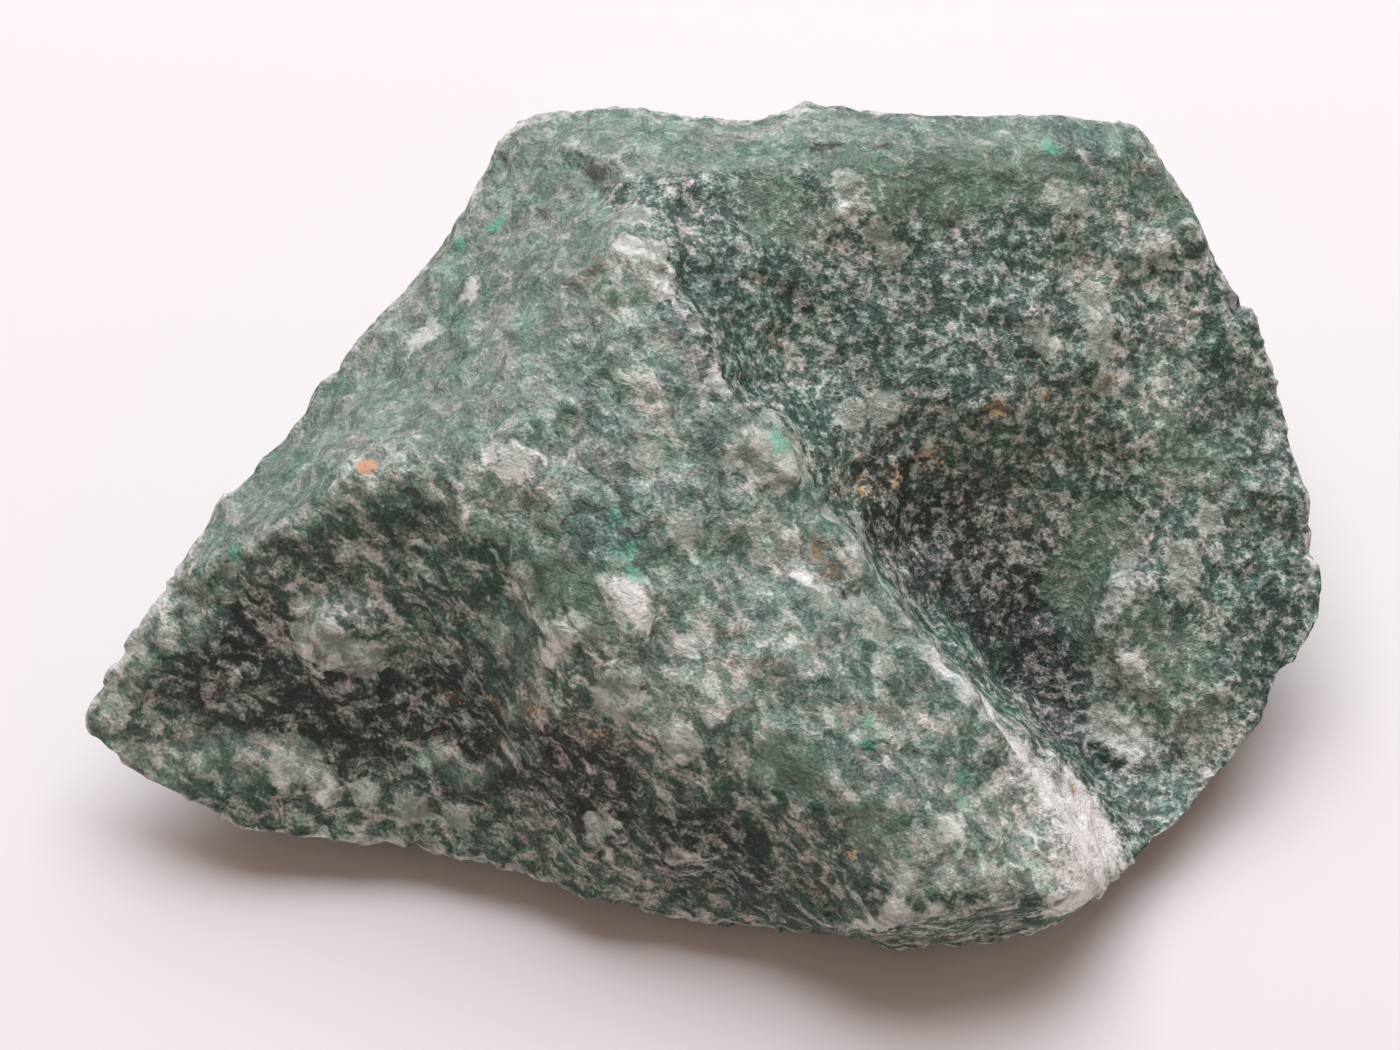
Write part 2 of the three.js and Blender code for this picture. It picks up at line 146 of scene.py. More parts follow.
# Where each mineral shows: centre of a spot, and its reach along the layers. Across them it reaches less.
SPOT_FLATTENING = 1.5
PALE_SCALES = (
    ((-3.7, 9.9, 21.2), 1.4),
    ((-2.9, 7.2, 21.8), 1.8),
    ((-2.6, 5.7, 21.4), 1.8),
    ((-0.5, 3.6, 20.3), 0.9),
    ((0.6, 1.0, 19.4), 0.9),
    ((2.1, -2.3, 18.0), 1.9),
    ((3.2, 0.2, 18.0), 1.2),
    ((4.1, -1.6, 17.2), 2.2),
    ((3.7, -3.0, 17.3), 1.4),
    ((5.8, -4.0, 15.2), 1.1),
    ((7.0, 2.0, 15.4), 1.4),
    ((8.5, 2.6, 15.2), 1.4),
    ((7.1, -3.1, 13.8), 0.9),
    ((7.4, -3.8, 13.6), 0.9),
    ((7.6, -4.4, 13.4), 0.9),
    ((8.6, -5.1, 12.2), 0.9),
    ((9.0, -6.2, 12.2), 0.9),
    ((7.1, -8.6, 14.0), 1.1),
    ((8.0, -9.5, 13.6), 1.2),
    ((8.2, -11.3, 13.4), 1.0),
    ((9.9, -8.0, 12.0), 1.0),
    ((10.7, -8.4, 11.2), 1.0),
    ((10.6, -10.4, 12.8), 1.0),
    ((12.4, -11.4, 11.7), 1.1),
    ((5.0, -8.5, 14.5), 1.2),
    ((6.7, 12.4, 20.9), 1.1),
    ((6.9, 11.6, 20.7), 1.0),
    ((7.2, 11.0, 20.4), 1.0),
    ((8.2, 10.0, 19.5), 1.1),
    ((9.0, 9.3, 18.7), 1.2),
    ((16.3, 6.3, 16.4), 1.2),
    ((16.6, 5.6, 15.9), 1.0),
    ((18.9, 8.5, 16.1), 1.3),
    ((19.2, 7.5, 15.8), 1.3),
    ((19.4, 6.3, 15.1), 1.4),
    ((19.6, 5.0, 14.0), 1.2),
    ((17.2, 12.9, 19.2), 1.1),
    ((18.2, 12.6, 18.6), 1.1),
    ((23.4, -2.0, 8.8), 1.3),
    ((23.4, -3.1, 8.5), 1.2),
    ((20.7, -1.9, 8.6), 0.8),
    ((20.5, -3.0, 8.7), 0.8),
    ((20.6, -4.2, 8.5), 0.8),
    ((19.4, -6.7, 5.8), 1.0),
    ((20.8, -7.0, 6.3), 1.0),
    ((21.3, -7.9, 5.5), 1.0),
    ((19.4, -8.7, 4.5), 1.5),
    ((20.7, -9.5, 4.0), 1.8),
    ((-19.7, -8.4, 11.2), 1.4),
    ((-18.2, -9.2, 11.1), 2.0),
    ((-16.6, -9.4, 10.5), 1.7),
    ((-20.8, -12.7, 6.0), 1.2),
    ((-18.9, -12.9, 5.4), 1.3),
    ((-16.9, -13.3, 4.9), 1.2),
    ((-14.5, -14.0, 4.5), 1.4),
    ((-12.5, -14.5, 4.5), 1.2),
    ((-5.5, -16.5, 7.0), 1.2),
    ((-7.5, -11.0, 14.5), 1.8),
    ((-4.5, -13.0, 13.0), 2.0),
    ((-1.5, -15.0, 12.0), 1.6),
    ((9.0, -21.0, 9.0), 1.2),
    ((11.0, -18.5, 10.0), 1.3),
    ((-1.2, -6.1, 17.0), 1.2),
    ((-3.1, -2.6, 18.2), 1.3),
    ((22.1, 11.2, 16.7), 1.5),
    ((24.8, 0.0, 9.3), 1.2),
)
GREEN_PLATES = (
    ((-5.6, -9.2, 15.9), 2.6),
    ((2.8, -1.2, 18.3), 2.4),
    ((18.7, -3.0, 7.4), 3.2),
    ((20.0, -4.9, 7.4), 3.2),
    ((19.6, -0.6, 9.1), 2.4),
    ((23.6, -8.2, 5.8), 2.8),
    ((23.2, -6.6, 6.6), 2.2),
    ((8.7, 12.2, 20.6), 2.4),
    ((11.2, 12.7, 20.1), 2.8),
    ((13.5, 13.1, 19.9), 2.4),
)
PALE_ROCK = (
    ((20.1, 11.4, 17.4), 5.0),
    ((22.3, 5.7, 13.2), 4.5),
    ((25.0, 1.6, 10.2), 4.5),
    ((26.9, 4.9, 10.9), 4.0),
    ((21.1, -7.8, 5.6), 3.0),
    ((23.1, -10.6, 3.5), 4.0),
    ((17.8, -14.6, 6.1), 3.0),
    ((19.5, -8.5, 4.8), 2.5),
    ((21.3, -12.6, 3.3), 2.8),
    ((0.0, -7.8, 15.7), 2.6),
)
MILKY_QUARTZ = (
    ((-4.1, -9.2, 16.2), 1.5),
    ((-2.9, -10.5, 15.5), 1.4),
    ((-1.0, -11.0, 14.5), 1.5),
    ((-9.5, -3.0, 18.5), 2.0),
    ((-14.0, 6.5, 16.0), 1.8),
    ((-12.0, 8.5, 17.0), 1.6),
    ((4.5, -7.5, 15.0), 0.9),
    ((20.9, -9.6, 3.9), 1.6),
    ((-2.1, 5.0, 21.0), 0.8),
    ((-1.5, 4.0, 20.7), 0.8),
    ((-1.0, 3.0, 20.4), 0.8),
    ((-0.5, 2.2, 20.0), 0.8),
    ((0.1, 1.3, 19.5), 0.8),
    ((0.8, 0.6, 19.0), 0.8),
)
CRUSHED = (
    ((13.4, -11.9, 10.5), 1.0),
    ((14.1, -13.2, 10.3), 1.6),
    ((15.3, -14.3, 9.2), 2.3),
    ((16.4, -15.4, 8.2), 2.9),
    ((17.3, -16.5, 7.4), 3.4),
    ((18.1, -17.4, 6.6), 3.6),
    ((17.9, -19.0, 6.6), 3.5),
    ((17.8, -14.4, 6.1), 2.5),
    ((19.1, -15.7, 5.0), 2.5),
)
# Dark mica layers and painted shade: besides the dark mineral, these spots darken the hollow under the
# ridge, the steep front face and the low foot, where shade falls.
DARK_LAYERS_AND_PAINTED_SHADE = (
    ((-22.5, -8.5, 9.5), 6.0),
    ((-18.0, -10.5, 8.0), 6.0),
    ((-12.0, -11.5, 8.0), 6.0),
    ((-6.5, -14.5, 8.5), 5.5),
    ((0.0, -18.0, 7.0), 5.0),
    ((9.0, -1.0, 12.5), 4.2),
    ((12.5, -2.0, 10.5), 5.0),
    ((14.5, -3.0, 8.0), 4.8),
    ((16.5, -5.9, 5.3), 2.8),
    ((17.5, -8.4, 4.1), 3.0),
    ((21.2, -10.8, 3.5), 2.5),
)
# Rust crumbs: real iron stains and specks. The bright gold specks drawn on them are painted glints.
RUST_CRUMBS_AND_PAINTED_GLINTS = (
    ((-5.0, 12.5, 20.5), 0.8),
    ((-12.5, -10.5, 9.0), 1.0),
    ((-10.5, -11.5, 10.0), 1.0),
    ((-8.5, -12.5, 11.0), 1.3),
    ((-5.5, -14.0, 11.0), 0.9),
    ((6.5, -19.5, 9.5), 0.7),
    ((6.0, -2.0, 14.5), 1.1),
    ((7.5, -1.0, 13.5), 1.3),
    ((9.0, 0.0, 13.0), 1.4),
    ((11.0, 1.5, 13.0), 1.3),
    ((14.0, 3.0, 14.5), 1.3),
    ((16.5, 4.0, 14.5), 0.9),
    ((19.5, 5.0, 14.0), 0.9),
    ((5.2, -5.9, 15.3), 1.2),
    ((5.7, -7.0, 14.8), 1.1),
    ((16.0, -12.5, 8.0), 0.9),
    ((17.5, -14.0, 6.5), 0.9),
)
ORANGE_STAINS = (
    ((-16.5, -2.5, 17.5), 0.9),
    ((-5.0, 12.5, 20.5), 0.5),
)
# Fuchsite: green mica flakes. Their bright emerald is partly a painted glint, where the flakes catch the
# light.
FUCHSITE_AND_PAINTED_GLINTS = (
    ((3.4, -1.4, 18.0), 1.7),
    ((-4.5, -5.5, 17.0), 1.2),
    ((-4.0, -7.0, 17.0), 1.3),
    ((-3.5, -8.0, 16.5), 1.0),
    ((7.5, -14.0, 12.5), 0.8),
    ((7.5, -15.0, 12.0), 0.8),
    ((12.0, -16.0, 10.5), 1.0),
    ((12.0, -17.0, 10.5), 1.0),
    ((-10.5, 12.0, 17.5), 0.9),
    ((-12.5, 11.5, 16.5), 0.9),
    ((-23.0, -5.0, 13.5), 1.0),
    ((17.0, 15.0, 20.0), 1.0),
)
GLASS = (
    ((12.0, 13.0, 19.5), 3.0),
    ((17.0, 13.5, 19.0), 3.0),
    ((22.5, 12.5, 17.5), 3.0),
    ((24.0, 2.0, 11.0), 3.0),
    ((3.0, 11.5, 19.5), 3.5),
    ((7.0, 12.5, 19.5), 3.5),
    ((-7.0, -8.0, 15.5), 2.5),
    ((4.0, -16.0, 12.0), 2.5),
    ((8.0, -18.5, 10.5), 2.5),
)
SPOT_KINDS = {
    "glass": GLASS,
    "green_plates": GREEN_PLATES,
    "pale_rock": PALE_ROCK,
    "pale_scales": PALE_SCALES,
    "milky_quartz": MILKY_QUARTZ,
    "crushed": CRUSHED,
    "dark_layers_and_painted_shade": DARK_LAYERS_AND_PAINTED_SHADE,
    "rust_crumbs_and_painted_glints": RUST_CRUMBS_AND_PAINTED_GLINTS,
    "orange_stains": ORANGE_STAINS,
    "fuchsite_and_painted_glints": FUCHSITE_AND_PAINTED_GLINTS,
}


def array_from(items, field, width, kind=float):
    """One field of all vertices or edges, one row each."""
    flat = np.empty(len(items) * width, dtype=kind)
    items.foreach_get(field, flat)
    return flat.reshape(-1, width)


def points_of(mesh):
    """The vertices, in millimetres."""
    return array_from(mesh.vertices, "co", 3) / MM


def set_points(mesh, points):
    mesh.vertices.foreach_set("co", (points * MM).ravel())
    mesh.update()


def ease(value, low, high):
    """0 below low, 1 above high, and a smooth rise between."""
    share = np.clip((value - low) / (high - low), 0.0, 1.0)
    return share * share * (3.0 - 2.0 * share)


def rounded(values, edges, steps, rate=ROUND_RATE):
    """Draws the values of every vertex towards the mean of its neighbours."""
    count = np.bincount(edges.ravel(), minlength=len(values))[:, None]
    for _ in range(steps):
        total = np.zeros_like(values)
        np.add.at(total, edges[:, 0], values[edges[:, 1]])
        np.add.at(total, edges[:, 1], values[edges[:, 0]])
        values = values + rate * (total / count - values)
    return values


def split_mesh(source):
    """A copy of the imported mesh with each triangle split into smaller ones."""
    mesh = bpy.data.meshes.new("aventurine_stone")
    bm = bmesh.new()
    bm.from_mesh(source)
    bmesh.ops.remove_doubles(bm, verts=bm.verts, dist=WELD)
    bmesh.ops.subdivide_edges(bm, edges=bm.edges, cuts=EDGE_CUTS, use_grid_fill=True)
    for face in bm.faces:
        face.smooth = True
    bm.to_mesh(mesh)
    bm.free()
    return mesh


def noise_at(points, size):
    """Soft noise from about -1 to 1, with lumps about this size."""
    return np.array([noise.noise(Vector(point)) for point in points / size])


def facets_at(points, size):
    """Cell-by-cell pattern of tilted planes, as from small chips."""
    middle = Vector((MIDDLE, MIDDLE, MIDDLE))
    heights = []
    for point in map(Vector, points / size):
        centre = noise.voronoi(point)[1][0]
        tilt = (noise.cell_vector(centre) - middle) / MIDDLE
        heights.append((point - centre).dot(tilt))
    return np.array(heights)


def ledges_at(points):
    """Thin ledges where the surface crosses the mineral layers."""
    level = points @ LAYER_NORMAL / LEDGE_SPACING + LEDGE_BEND * noise_at(points, LEDGE_WANDER)
    share = level % 1.0
    return np.minimum(share / LEDGE_STEP, 1.0) - share


def closeness(points, spots):
    """1 at the centre of a spot, falling to 0 at its reach; the nearest spot counts."""
    best = np.zeros(len(points))
    for centre, reach in spots:
        offset = points - np.array(centre)
        across_layers = (SPOT_FLATTENING - 1.0) * (offset @ LAYER_NORMAL)
        offset = offset + across_layers[:, None] * LAYER_NORMAL
        best = np.maximum(best, 1.0 - np.linalg.norm(offset, axis=1) / reach)
    return best


def scales_at(points):
    """1 on the raised scales; these are made of whole chips, some of which broke off."""
    centres = np.array([noise.voronoi(Vector(point))[1][0] for point in points / SCALE_CHIP])
    luck = np.array([noise.cell(Vector(centre)) for centre in centres])
    return ease(closeness(centres * SCALE_CHIP, PALE_SCALES) + SCALE_LUCK * (luck - MIDDLE), *SCALE_RIM)


def rim_of(share):
    """1 half-way up the border of a patch, 0 inside it and outside it."""
    return share * (1.0 - share) / MIDDLE ** 2


def hollow_at(points):
    """1 on the hollow right face, and 0 elsewhere."""
    beyond_lines = np.min([(points - point) @ side for point, side in HOLLOW_LINES], axis=0)
    return ease(beyond_lines, *HOLLOW_BORDER)


def relief(points, wear):
    """Height of the broken surface above the rounded one, for every point."""
    height = LEDGE_HEIGHT * ledges_at(points) * (1.0 - HOLLOW_CALM * hollow_at(points))
    for size, amount in LUMPS:
        height += amount * noise_at(points, size)
    for size, amount in FACETS:
        height += amount * facets_at(points, size)
    height += CHIP_DEPTH * wear * np.minimum(facets_at(points, EDGE_CHIP), 0.0)
    height *= 1.0 - CRUSHED_CALM * closeness(points, CRUSHED)
    return height + SCALE_HEIGHT * scales_at(points)


def set_attribute(mesh, name, values):
    mesh.attributes.new(name, "FLOAT", "POINT").data.foreach_set("value", values)


def paint(mesh, points, normals, wear):
    """Stores on every vertex what its surface is like, for the material to read."""
    for name, spots in SPOT_KINDS.items():
        set_attribute(mesh, name, closeness(points, spots))
    scales = scales_at(points)
    set_attribute(mesh, "scale_rims", rim_of(scales))
    set_attribute(mesh, "wear", wear)
    hollow = hollow_at(points)
    crushed = ease(closeness(points, CRUSHED), *CRUSHED_BORDER)
    set_attribute(mesh, "granular", np.maximum(hollow, crushed))
    front = ease(normals @ FORWARD, *FRONT_SLOPE)
    set_attribute(mesh, "dull", 1.0 - np.maximum(front, hollow))
    set_attribute(mesh, "weathered", ease(normals @ WEATHER_SIDE, *WEATHER_RANGE))


def stone_mesh(source):
    """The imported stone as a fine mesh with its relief, painted for the material, inside the CAD's box."""
    mesh = split_mesh(source)
    edges = array_from(mesh.edges, "vertices", 2, np.int64)
    smooth = rounded(points_of(mesh), edges, ROUND_STEPS)
    set_points(mesh, smooth)
    normals = array_from(mesh.vertices, "normal", 3)
    rise = ((smooth - rounded(smooth, edges, WEAR_STEPS)) * normals).sum(axis=1)
    broad_normals = rounded(normals, edges, WEAR_STEPS)
    wear = np.clip(rise / WEAR_HEIGHT, 0.0, 1.0)
    paint(mesh, smooth, broad_normals, wear)
    points = smooth + normals * relief(smooth, wear)[:, None]
    low, high = np.array(CAD_BOX) / MM
    set_points(mesh, np.clip(points, low, high))
    return mesh


class Nodes:
    """Short calls for the nodes of one material."""

    def __init__(self, material):
        material.use_nodes = True
        self.tree = material.node_tree
        self.shader = self.tree.nodes["Principled BSDF"]

    def put(self, socket, value):
        """A socket takes another node's output, or a plain value."""
        if isinstance(value, bpy.types.NodeSocket):
            self.tree.links.new(value, socket)
        else:
            socket.default_value = value

    def add(self, kind, inputs=(), **settings):
        """A new node of this kind, with its inputs and its other settings."""
        node = self.tree.nodes.new(kind)
        for name, value in settings.items():
            setattr(node, name, value)
        for key, value in dict(inputs).items():
            self.put(node.inputs[key], value)
        return node

    def attribute(self, name):
        return self.add("ShaderNodeAttribute", attribute_name=name).outputs["Fac"]

    def noise(self, place, size, detail, roughness):
        """Soft random tone round 0.5, with blobs about this many millimetres across."""
        inputs = {"Vector": place, "Scale": 1.0 / (size * MM), "Detail": detail, "Roughness": roughness}
        return self.add("ShaderNodeTexNoise", inputs).outputs["Fac"]

    def math(self, operation, first, second):
        node = self.add("ShaderNodeMath", operation=operation)
        self.put(node.inputs[0], first)
        self.put(node.inputs[1], second)
        return node.outputs[0]

    def spread(self, value, low, high, to_low=0.0, to_high=1.0):
        """Stretches low to high over to_low to to_high, and holds the value beyond."""
        inputs = {"Value": value, "From Min": low, "From Max": high, "To Min": to_low, "To Max": to_high}
        return self.add("ShaderNodeMapRange", inputs).outputs["Result"]

    def between(self, amount, first, second):
        """Mix of two numbers."""
        node = self.add("ShaderNodeMix", data_type="FLOAT")
        for index, value in ((0, amount), (2, first), (3, second)):
            self.put(node.inputs[index], value)
        return node.outputs[0]

    def mix(self, amount, first, second):
        """Mix of two colours."""
        node = self.add("ShaderNodeMix", data_type="RGBA")
        for index, value in ((0, amount), (6, first), (7, second)):
            self.put(node.inputs[index], value)
        return node.outputs[2]

    def ramp(self, value, stops):
        """Colour by place on a ramp."""
        node = self.add("ShaderNodeValToRGB", {"Fac": value})
        elements = node.color_ramp.elements
        while len(elements) < len(stops):
            elements.new(MIDDLE)
        for element, (place, colour) in zip(elements, stops):
            element.position = place
            element.color = (*colour, 1.0)
        return node.outputs["Color"]

    def vector(self, operation, first, second):
        """Vector arithmetic; SCALE takes a number as its second value."""
        node = self.add("ShaderNodeVectorMath", operation=operation)
        self.put(node.inputs[0], first)
        self.put(node.inputs["Scale" if operation == "SCALE" else 1], second)
        return node.outputs[0]


# Tones of the grains from dark to pale, as linear light: place on the ramp, and colour.
FRESH_TONES = (
    (0.00, (0.016, 0.029, 0.022)),
    (0.30, (0.037, 0.072, 0.055)),
    (0.48, (0.088, 0.137, 0.111)),
    (0.66, (0.217, 0.252, 0.226)),
    (1.00, (0.590, 0.583, 0.550)),
)
# Dark mica, and the painted shade of the hollow under the ridge and of the steep front face.
MICA_AND_PAINTED_SHADE_TONES = (
    (0.00, (0.006, 0.013, 0.009)),
    (0.36, (0.015, 0.026, 0.020)),
    (0.54, (0.052, 0.067, 0.059)),
    (0.74, (0.195, 0.199, 0.186)),
    (1.00, (0.455, 0.432, 0.410)),
)
DULL_TONES = (
    (0.00, (0.034, 0.060, 0.048)),
    (0.25, (0.076, 0.122, 0.100)),
    (0.50, (0.185, 0.236, 0.203)),
    (0.75, (0.377, 0.402, 0.372)),
    (1.00, (0.680, 0.665, 0.635)),
)
GLASS_TONES = (
    (0.00, (0.058, 0.096, 0.072)),
    (0.50, (0.108, 0.162, 0.123)),
    (0.80, (0.175, 0.230, 0.182)),
    (1.00, (0.310, 0.350, 0.285)),
)
SCALE_TONES = (
    (0.00, (0.185, 0.222, 0.182)),
    (0.50, (0.318, 0.352, 0.302)),
    (1.00, (0.560, 0.570, 0.515)),
)
CRUSHED_TONES = (
    (0.00, (0.400, 0.395, 0.375)),
    (0.45, (0.760, 0.730, 0.700)),
    (1.00, (0.950, 0.925, 0.895)),
)
RUST_TONES = (
    (0.00, (0.030, 0.018, 0.012)),
    (0.50, (0.200, 0.145, 0.110)),
    (1.00, (0.550, 0.440, 0.370)),
)
# Orange iron specks, up to pale gold where they are painted as glints.
GOLD_PAINTED_GLINT_TONES = (
    (0.00, (0.120, 0.050, 0.015)),
    (0.50, (0.400, 0.240, 0.110)),
    (1.00, (0.820, 0.660, 0.420)),
)
ORANGE_TONES = ((0.0, (0.420, 0.200, 0.110)), (1.0, (0.720, 0.420, 0.270)))
# Green of the fuchsite, up to a bright emerald that is a painted glint.
EMERALD_PAINTED_GLINT_TONES = ((0.0, (0.010, 0.160, 0.095)), (1.0, (0.120, 0.520, 0.340)))

# Grains are drawn out along the ridge, and flat across the mineral layers.
GRAIN_STRETCH = 1.5
LAYER_FLATTENING = 1.8

# Sizes of the three kinds of grain, and the noise that warps their outlines: size, detail and reach.
PLATE = 1.3
GRAIN = 0.45
CRUMB = 0.22
WARP_SIZE = 1.2
WARP_DETAIL = 1.0
WARP = 0.8

# Size, detail and roughness of each noise in the stone.
PATCH = (2.6, 3.0, 0.55)
FLECK = (0.75, 3.0, 0.55)
SALT = (0.52, 3.0, 0.6)
SPECK = (0.17, 1.0, 0.6)

# Flakes are flecks with crisp edges: dark where the noise is below this range, and pale where it is above.
FLAKE_RANGE = (0.415, 0.585)

# Middle tone on fresh, on dull and on weathered faces, and how far each texture swings it there.
FRESH_LEVEL = 0.54
DULL_LEVEL = 0.535
WORN_LEVEL = 0.52
FRESH_SWING = {"plate": 0.15, "grain": 0.25, "patch": 0.75, "flake": 0.44, "speck": 0.8}
DULL_SWING = {"plate": 0.3, "grain": 0.25, "patch": 1.0, "flake": 0.32, "speck": 0.7}
WORN_SWING = {"plate": 0.12, "grain": 0.12, "patch": 0.5, "flake": 0.2, "speck": 0.55}
RELIEF_SWING = {"plate": 0.5, "grain": 0.3, "dome": -0.3, "flake": 0.3, "speck": 0.4}

# The whole rock drifts between a warm grey and a green tint.
TINT = (1.9, 4.0, 0.66)
TINT_SWING = {"tint": 1.0, "grain_hue": 0.15}
TINT_RANGE = (0.36, 0.64)
WARM_TINT = (1.10, 0.970, 0.970, 1.0)
GREEN_TINT = (0.87, 1.05, 0.95, 1.0)

# Minerals laid one over another, in this order. Each starts where its attribute and the swing of its
# outline together pass the first bound, and is fully there at the second.
Mineral = namedtuple("Mineral", "attribute outline bounds strength tones")
ROCK = (
    # Dark mica layers, with painted shade in the hollow under the ridge, on the steep front face and at the
    # low foot.
    Mineral("dark_layers_and_painted_shade", {"patch": 0.6, "fleck": 0.5}, (0.15, 0.42), 1.0, MICA_AND_PAINTED_SHADE_TONES),
    Mineral("dull", {"patch": 1.0}, (0.3, 0.7), 1.0, DULL_TONES),
    Mineral("glass", {"patch": 1.2, "fleck": 0.6}, (0.25, 0.5), 0.9, GLASS_TONES),
    Mineral("pale_rock", {"patch": 0.8, "fleck": 0.4}, (0.15, 0.5), 0.55, DULL_TONES),
    Mineral("green_plates", {"plate": 0.15, "fleck": 0.6}, (0.22, 0.36), 0.8, GLASS_TONES),
)
INCLUSIONS = (
    Mineral("pale_scales", {"grain": 0.15, "fleck": 0.8}, (0.2, 0.38), 0.85, SCALE_TONES),
    Mineral("scale_rims", {"grain": 0.3, "fleck": 1.2}, (0.55, 0.95), 0.5, CRUSHED_TONES),
    Mineral("milky_quartz", {"plate": 0.2, "grain": 0.2, "fleck": 1.2}, (0.3, 0.65), 0.6, CRUSHED_TONES),
    Mineral("crushed", {"grain": 0.1, "fleck": 0.4, "speck": 0.4}, (0.08, 0.5), 1.0, CRUSHED_TONES),
    Mineral("wear", {"plate": 0.2, "fleck": 1.4}, (0.45, 0.85), 0.5, CRUSHED_TONES),
    Mineral("rust_crumbs_and_painted_glints", {"fleck": 1.2}, (0.3, 0.9), 0.5, RUST_TONES),
    # Tiny iron specks in the rust, painted bright as glints.
    Mineral("rust_crumbs_and_painted_glints", {"crumb": 1.1, "crumb_middle": -1.0}, (0.92, 1.02), 1.0, GOLD_PAINTED_GLINT_TONES),
    Mineral("orange_stains", {"fleck": 0.8}, (0.3, 0.5), 1.0, ORANGE_TONES),
    # Fuchsite flakes: green mica, painted bright as glints.
    Mineral("fuchsite_and_painted_glints", {"grain": 0.3, "fleck": 1.2, "speck": 0.6}, (0.35, 0.75), 0.7, EMERALD_PAINTED_GLINT_TONES),
)

# Gloss follows the specks: this range of their tones goes with this range of roughness.
GLOSS_RANGE = (0.35, 0.65)
ROUGHNESS_RANGE = (0.68, 0.45)

# Relief that is finer than the mesh.
BUMP_STRENGTH = 0.75
BUMP_HEIGHT = 0.2 * MM

# Refractive index of quartz.
REFRACTION = 1.54


def layer_places(nodes):
    """Positions on the stone, plain and squeezed so that grains lie flat in the mineral layers."""
    plain = nodes.add("ShaderNodeTexCoord").outputs["Object"]
    wandering = {"Vector": plain, "Scale": 1.0 / (WARP_SIZE * MM), "Detail": WARP_DETAIL}
    wander = nodes.add("ShaderNodeTexNoise", wandering).outputs["Color"]
    centred = nodes.vector("SUBTRACT", wander, (MIDDLE, MIDDLE, MIDDLE))
    warped = nodes.vector("ADD", plain, nodes.vector("SCALE", centred, WARP * MM))
    turn = {"Vector": warped, "Rotation": (-LAYER_TILT, 0.0, GRAIN_TURN)}
    turned = nodes.add("ShaderNodeMapping", turn).outputs["Vector"]
    squeeze = {"Vector": turned, "Scale": (1.0 / GRAIN_STRETCH, 1.0, LAYER_FLATTENING)}
    return plain, nodes.add("ShaderNodeMapping", squeeze).outputs["Vector"]


def mosaic(nodes, place, size):
    """Two random tones for each grain, and the distance from the grain's middle."""
    node = nodes.add("ShaderNodeTexVoronoi", {"Vector": place, "Scale": 1.0 / (size * MM)})
    tones = nodes.add("ShaderNodeSeparateColor", {"Color": node.outputs["Color"]}).outputs
    return tones["Red"], tones["Green"], node.outputs["Distance"]


def textures_of(nodes):
    """Random tones by name. Flecks and patches are streaks, but round where the rock is granular."""
    plain, layered = layer_places(nodes)
    plate = mosaic(nodes, layered, PLATE)[0]
    grain, grain_hue, dome = mosaic(nodes, layered, GRAIN)
    crumb, _, crumb_middle = mosaic(nodes, plain, CRUMB)
    granular = nodes.attribute("granular")
    fleck = nodes.between(granular, nodes.noise(layered, *FLECK), nodes.noise(plain, *SALT))
    patch = nodes.between(granular, nodes.noise(layered, *PATCH), nodes.noise(plain, *PATCH))
    return {
        "plate": plate,
        "grain": grain,
        "grain_hue": grain_hue,
        "dome": dome,
        "crumb": crumb,
        "crumb_middle": crumb_middle,
        "patch": patch,
        "fleck": fleck,
        "flake": nodes.spread(fleck, *FLAKE_RANGE),
        "speck": nodes.noise(plain, *SPECK),
        "tint": nodes.noise(plain, *TINT),
    }


def swing(nodes, textures, start, shares):
    """The start value, moved up and down by the textures."""
    total = nodes.math("SUBTRACT", start, MIDDLE * sum(shares.values()))
    for name, share in shares.items():
        total = nodes.math("ADD", total, nodes.math("MULTIPLY", textures[name], share))
    return total


def overlay(nodes, textures, colour, tone, minerals):
    """The colour with these minerals laid over it."""
    for mineral in minerals:
        outline = swing(nodes, textures, nodes.attribute(mineral.attribute), mineral.outline)
        amount = nodes.spread(outline, *mineral.bounds, 0.0, mineral.strength)
        colour = nodes.mix(amount, colour, nodes.ramp(tone, mineral.tones))
    return colour


def tone_of(nodes, textures):
    """Where each grain stands on the ramp of its mineral, from dark to pale."""
    fresh = swing(nodes, textures, FRESH_LEVEL, FRESH_SWING)
    dull = swing(nodes, textures, DULL_LEVEL, DULL_SWING)
    worn = swing(nodes, textures, WORN_LEVEL, WORN_SWING)
    old = nodes.between(nodes.attribute("weathered"), dull, worn)
    return nodes.between(nodes.attribute("dull"), fresh, old)


def colour_of(nodes, textures):
    """The rock in its drifting tint, with the inclusions over it."""
    tone = tone_of(nodes, textures)
    rock = overlay(nodes, textures, nodes.ramp(tone, FRESH_TONES), tone, ROCK)
    tint_place = swing(nodes, textures, MIDDLE, TINT_SWING)
    tint = nodes.mix(nodes.spread(tint_place, *TINT_RANGE), WARM_TINT, GREEN_TINT)
    return overlay(nodes, textures, nodes.vector("MULTIPLY", rock, tint), tone, INCLUSIONS)


def bump_of(nodes, textures):
    """Normals that stand for the relief of single grains."""
    height = swing(nodes, textures, MIDDLE, RELIEF_SWING)
    inputs = {"Height": height, "Strength": BUMP_STRENGTH, "Distance": BUMP_HEIGHT}
    return nodes.add("ShaderNodeBump", inputs).outputs["Normal"]


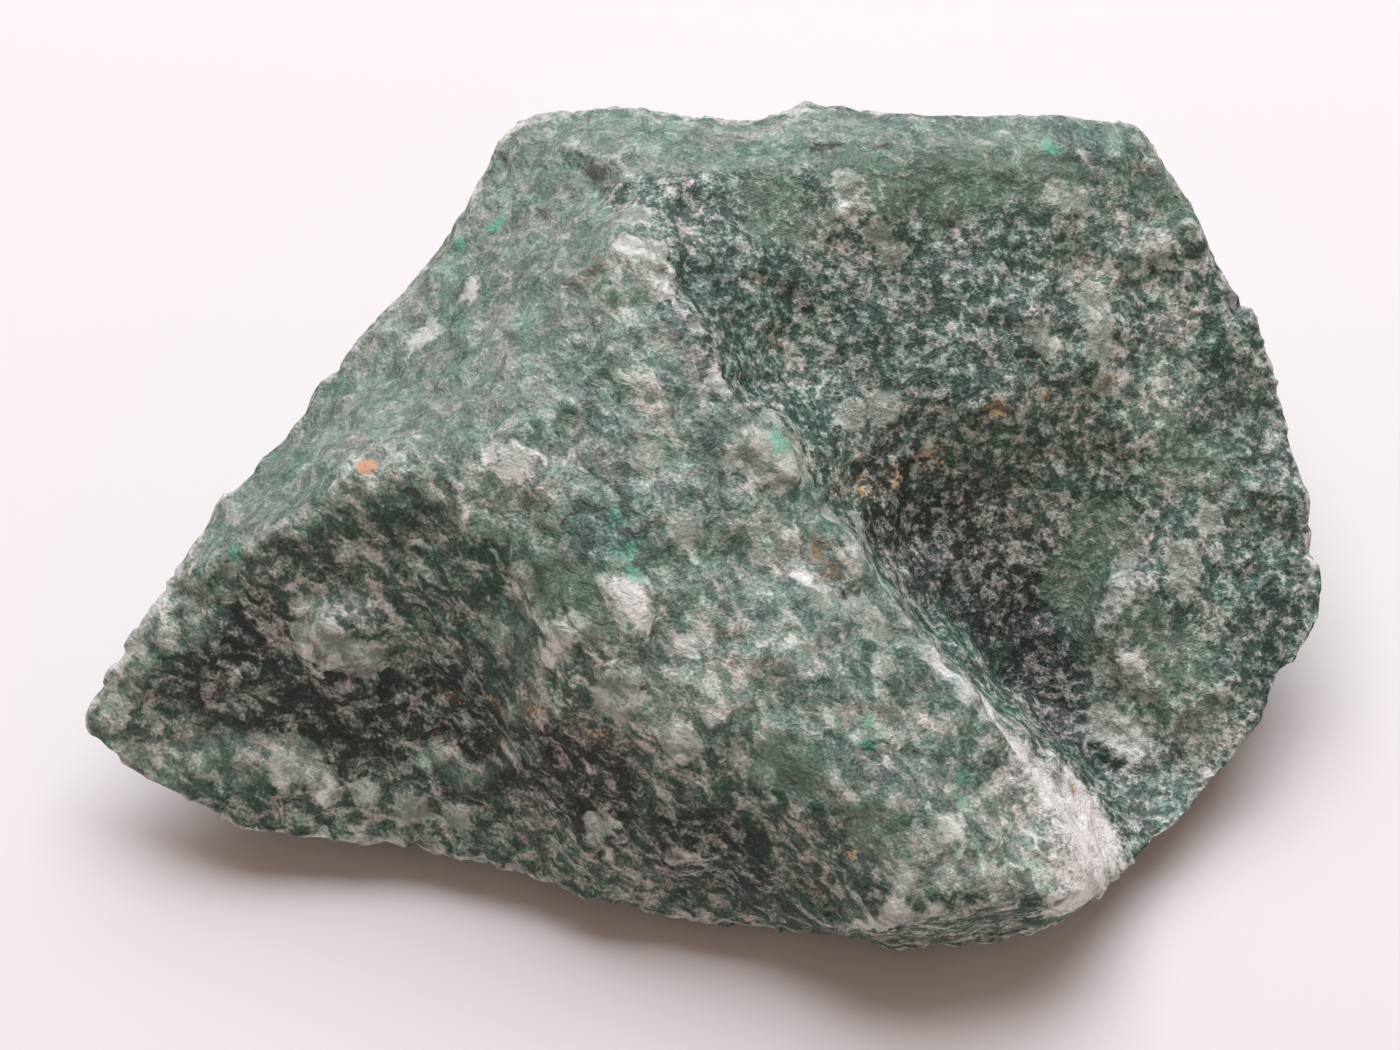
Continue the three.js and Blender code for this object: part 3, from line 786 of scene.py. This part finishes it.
def stone_material():
    material = bpy.data.materials.new("aventurine_quartzite")
    nodes = Nodes(material)
    textures = textures_of(nodes)
    inputs = nodes.shader.inputs
    nodes.put(inputs["Base Color"], colour_of(nodes, textures))
    nodes.put(inputs["Roughness"], nodes.spread(textures["speck"], *GLOSS_RANGE, *ROUGHNESS_RANGE))
    nodes.put(inputs["Normal"], bump_of(nodes, textures))
    inputs["IOR"].default_value = REFRACTION
    return material


def build_stone():
    mesh = stone_mesh(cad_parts[NODE].data)
    stone = bpy.data.objects.new("aventurine_stone", mesh)
    bpy.context.scene.collection.objects.link(stone)
    mesh.materials.append(stone_material())
    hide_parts(NODE)
    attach(stone, BODY)


def build_floor():
    bpy.ops.mesh.primitive_plane_add(size=FLOOR_SIZE)
    floor = bpy.context.object
    floor.name = "floor"
    material = bpy.data.materials.new("pale_floor")
    nodes = Nodes(material)
    nodes.shader.inputs["Base Color"].default_value = (*FLOOR_COLOUR, 1.0)
    nodes.shader.inputs["Roughness"].default_value = FLOOR_ROUGHNESS
    floor.data.materials.append(material)


def aim(thing, target):
    """Turns a camera or a light so that it faces the target."""
    thing.rotation_euler = (target - thing.location).to_track_quat("-Z", "Y").to_euler()


def build_camera():
    camera = bpy.data.objects.new("camera", bpy.data.cameras.new("camera"))
    bpy.context.scene.collection.objects.link(camera)
    camera.data.lens = CAMERA_LENS
    camera.data.sensor_width = SENSOR_WIDTH
    back = Vector((0.0, -math.cos(CAMERA_ELEVATION), math.sin(CAMERA_ELEVATION)))
    camera.location = CAMERA_TARGET + back * CAMERA_DISTANCE
    aim(camera, CAMERA_TARGET)
    bpy.context.scene.camera = camera


def build_light():
    light = bpy.data.lights.new("key", "AREA")
    light.energy = KEY_POWER
    light.color = KEY_COLOUR
    light.size = KEY_SIZE
    key = bpy.data.objects.new("key", light)
    bpy.context.scene.collection.objects.link(key)
    key.location = KEY_PLACE
    aim(key, CAMERA_TARGET)


def build_room():
    world = bpy.data.worlds.new("room")
    world.use_nodes = True
    background = world.node_tree.nodes["Background"]
    background.inputs["Color"].default_value = (*ROOM_COLOUR, 1.0)
    background.inputs["Strength"].default_value = ROOM_STRENGTH
    bpy.context.scene.world = world
    bpy.context.scene.view_settings.view_transform = "Standard"


build_stone()
build_floor()
build_camera()
build_light()
build_room()
